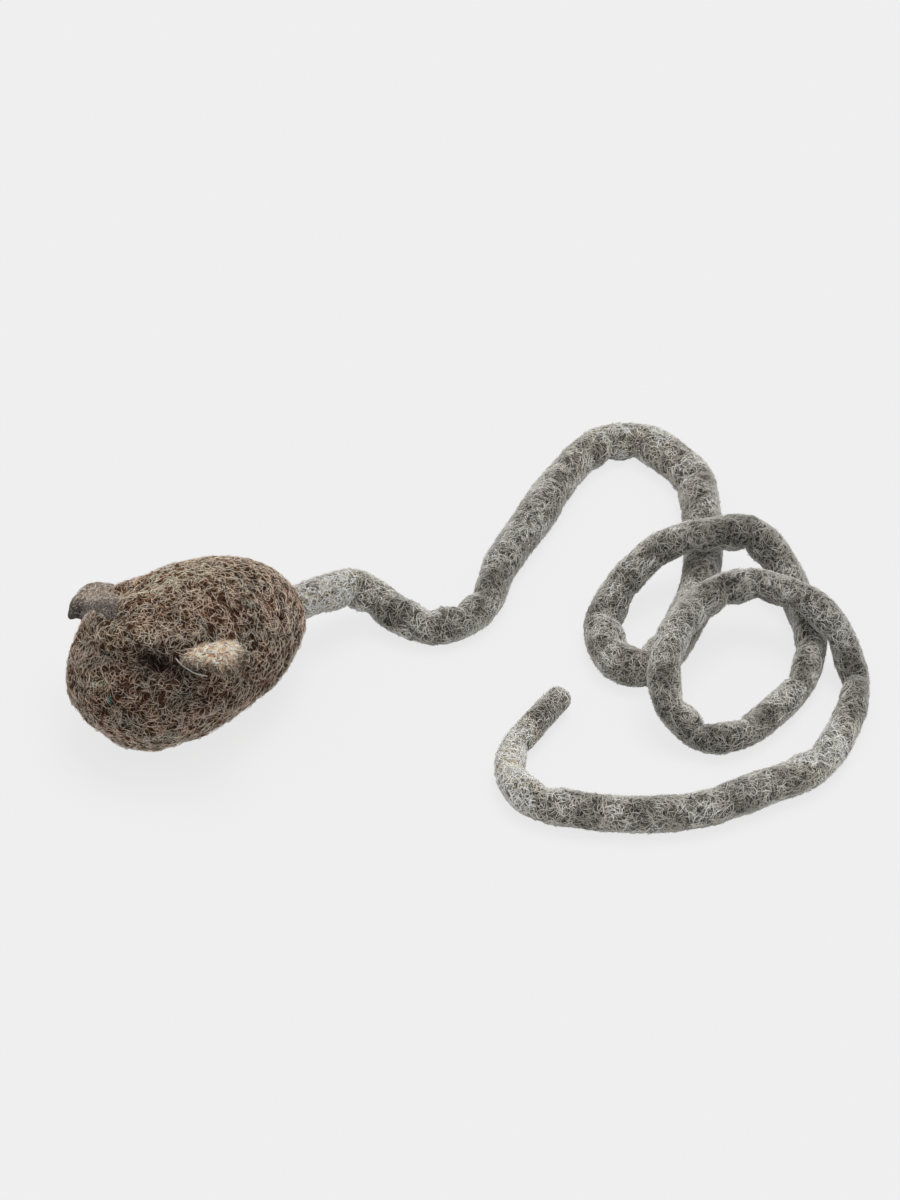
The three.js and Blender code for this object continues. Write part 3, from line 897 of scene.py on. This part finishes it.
# Dried catnip: crumbled leaf and stem, dull grey-green with brown bits
def driedLeaf(name):
    material, tree = newMaterial(name)
    rest = addNode(tree, "ShaderNodeAttribute", {"attribute_name": "rest"}).outputs["Vector"]
    bits = addNode(tree, "ShaderNodeTexNoise", {"Scale": 1 / (3 * mm), "Detail": 2}, {"Vector": rest})
    veins = addNode(tree, "ShaderNodeTexNoise", {"Scale": 1 / (0.6 * mm), "Detail": 2}, {"Vector": rest})
    leaf = addNode(tree, "ShaderNodeValToRGB",
                   {"stops": [(0.35, "#4c5232"), (0.5, "#6f7448"), (0.65, "#8a8358")]},
                   {"Fac": bits.outputs["Fac"]})
    bump = addNode(tree, "ShaderNodeBump", {"Strength": 0.6, "Distance": 0.2 * mm},
                   {"Height": veins.outputs["Fac"]})
    shader = addNode(tree, "ShaderNodeBsdfPrincipled", {"Roughness": 0.9, "Specular IOR Level": 0.2},
                     {"Base Color": leaf.outputs["Color"], "Normal": bump.outputs["Normal"]})
    addNode(tree, "ShaderNodeOutputMaterial", {}, {"Surface": shader.outputs["BSDF"]})
    return material


def makeFilling():
    ball, faces = ballPoints(filling["divisions"])
    points, out = bodyGround(ball)
    points = points - out * (filling["inset"] * mm - lumps(points, filling["grain"]))[:, None]
    wool = makePiece("stuffingWool", points, faces, feltGround("carded white wool", cardedWool))
    low, high = [np.array(corner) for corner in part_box("catnip_filling")]
    rng = np.random.default_rng(filling["seed"])
    count = filling["flakes"]
    heart = (low + high) / 2
    aim = unit(rng.normal(size=(count, 3)))
    reach = rng.random((count, 1)) ** filling["evenness"]
    spots = heart + aim * (high - low) / 2 * filling["heap"] * reach
    long = unit(rng.normal(size=(count, 3)))
    wide = unit(np.cross(long, rng.normal(size=(count, 3))))
    flat = np.cross(long, wide)
    size = filling["flake"] * mm / 2 * rng.uniform(*filling["flakeSpread"], (count, 1))
    end = long * size
    edge = wide * size * filling["flakeWide"]
    bulge = flat * size * filling["flakeThick"]
    corners = [end, edge, -end, -edge, bulge, -bulge]
    points = np.stack([spots + corner for corner in corners], axis=1).reshape(-1, 3)
    around = [(0, 1, 4), (1, 2, 4), (2, 3, 4), (3, 0, 4), (1, 0, 5), (2, 1, 5), (3, 2, 5), (0, 3, 5)]
    faces = [[6 * i + k for k in face] for i in range(count) for face in around]
    herb = makePiece("catnipFlakes", points, faces, driedLeaf("crumbled dried catnip"))
    return wool, herb


stuffingWool, catnipFlakes = makeFilling()
insides = [(stuffingWool, "wool_core", "loose_wool"), (catnipFlakes, "catnip_filling", "dried_herb")]
for piece, node, slot in insides:
    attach(piece, "mouse")
    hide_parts(node)
print("filling made")


# Stage: a pale floor and backdrop, an even sky and one broad high lamp
stage = {
    "floor": 12.0,
    "pale": "#efefef",
    "shadow": 0.12,  # how far the floor takes shadows
    "sky": 0.6,
    "lamp": 1.45,
    "softness": 35,
    "lampTilt": (-20, -10, 0),
}


def seenRays(tree):
    # 1 for what the camera sees, straight or in a gloss or through glass
    rays = addNode(tree, "ShaderNodeLightPath").outputs
    seen = addNode(tree, "ShaderNodeMath", {"operation": "ADD"},
                   {0: rays["Is Camera Ray"], 1: rays["Is Glossy Ray"]})
    return addNode(tree, "ShaderNodeMath", {"operation": "ADD", "use_clamp": True},
                   {0: seen.outputs[0], 1: rays["Is Transmission Ray"]})


def makeStage():
    # paper that looks even and unlit, with only a faint shadow under the mouse
    material, tree = newMaterial("pale paper floor")
    seen = seenRays(tree)
    paper = addNode(tree, "ShaderNodeBsdfDiffuse", {"Color": linear(stage["pale"])})
    plain = addNode(tree, "ShaderNodeEmission", {"Color": linear(stage["pale"]), "Strength": 1})
    share = addNode(tree, "ShaderNodeMath", {"operation": "MULTIPLY", 1: 1 - stage["shadow"]},
                    {0: seen.outputs[0]})
    mixed = addNode(tree, "ShaderNodeMixShader", {},
                    {"Fac": share.outputs[0], 1: paper.outputs[0], 2: plain.outputs[0]})
    addNode(tree, "ShaderNodeOutputMaterial", {}, {"Surface": mixed.outputs[0]})
    half = stage["floor"] / 2
    mesh = bpy.data.meshes.new("floor")
    corners = [(-half, -half, 0), (half, -half, 0), (half, half, 0), (-half, half, 0)]
    mesh.from_pydata(corners, [], [(0, 1, 2, 3)])
    mesh.materials.append(material)
    floor = bpy.data.objects.new("floor", mesh)
    bpy.context.scene.collection.objects.link(floor)

    world = bpy.data.worlds.new("studio")
    world.use_nodes = True
    tree = world.node_tree
    tree.nodes.clear()
    seen = seenRays(tree)
    sky = addNode(tree, "ShaderNodeBackground", {"Color": (1, 1, 1, 1), "Strength": stage["sky"]})
    drop = addNode(tree, "ShaderNodeBackground", {"Color": linear(stage["pale"]), "Strength": 1})
    mixed = addNode(tree, "ShaderNodeMixShader", {},
                    {"Fac": seen.outputs[0], 1: sky.outputs[0], 2: drop.outputs[0]})
    addNode(tree, "ShaderNodeOutputWorld", {}, {"Surface": mixed.outputs[0]})
    bpy.context.scene.world = world

    lamp = bpy.data.objects.new("lamp", bpy.data.lights.new("lamp", "SUN"))
    lamp.data.energy = stage["lamp"]
    lamp.data.angle = math.radians(stage["softness"])
    lamp.rotation_euler = [math.radians(turn) for turn in stage["lampTilt"]]
    bpy.context.scene.collection.objects.link(lamp)
    bpy.context.scene.view_settings.view_transform = "Standard"


makeStage()
print("stage set")
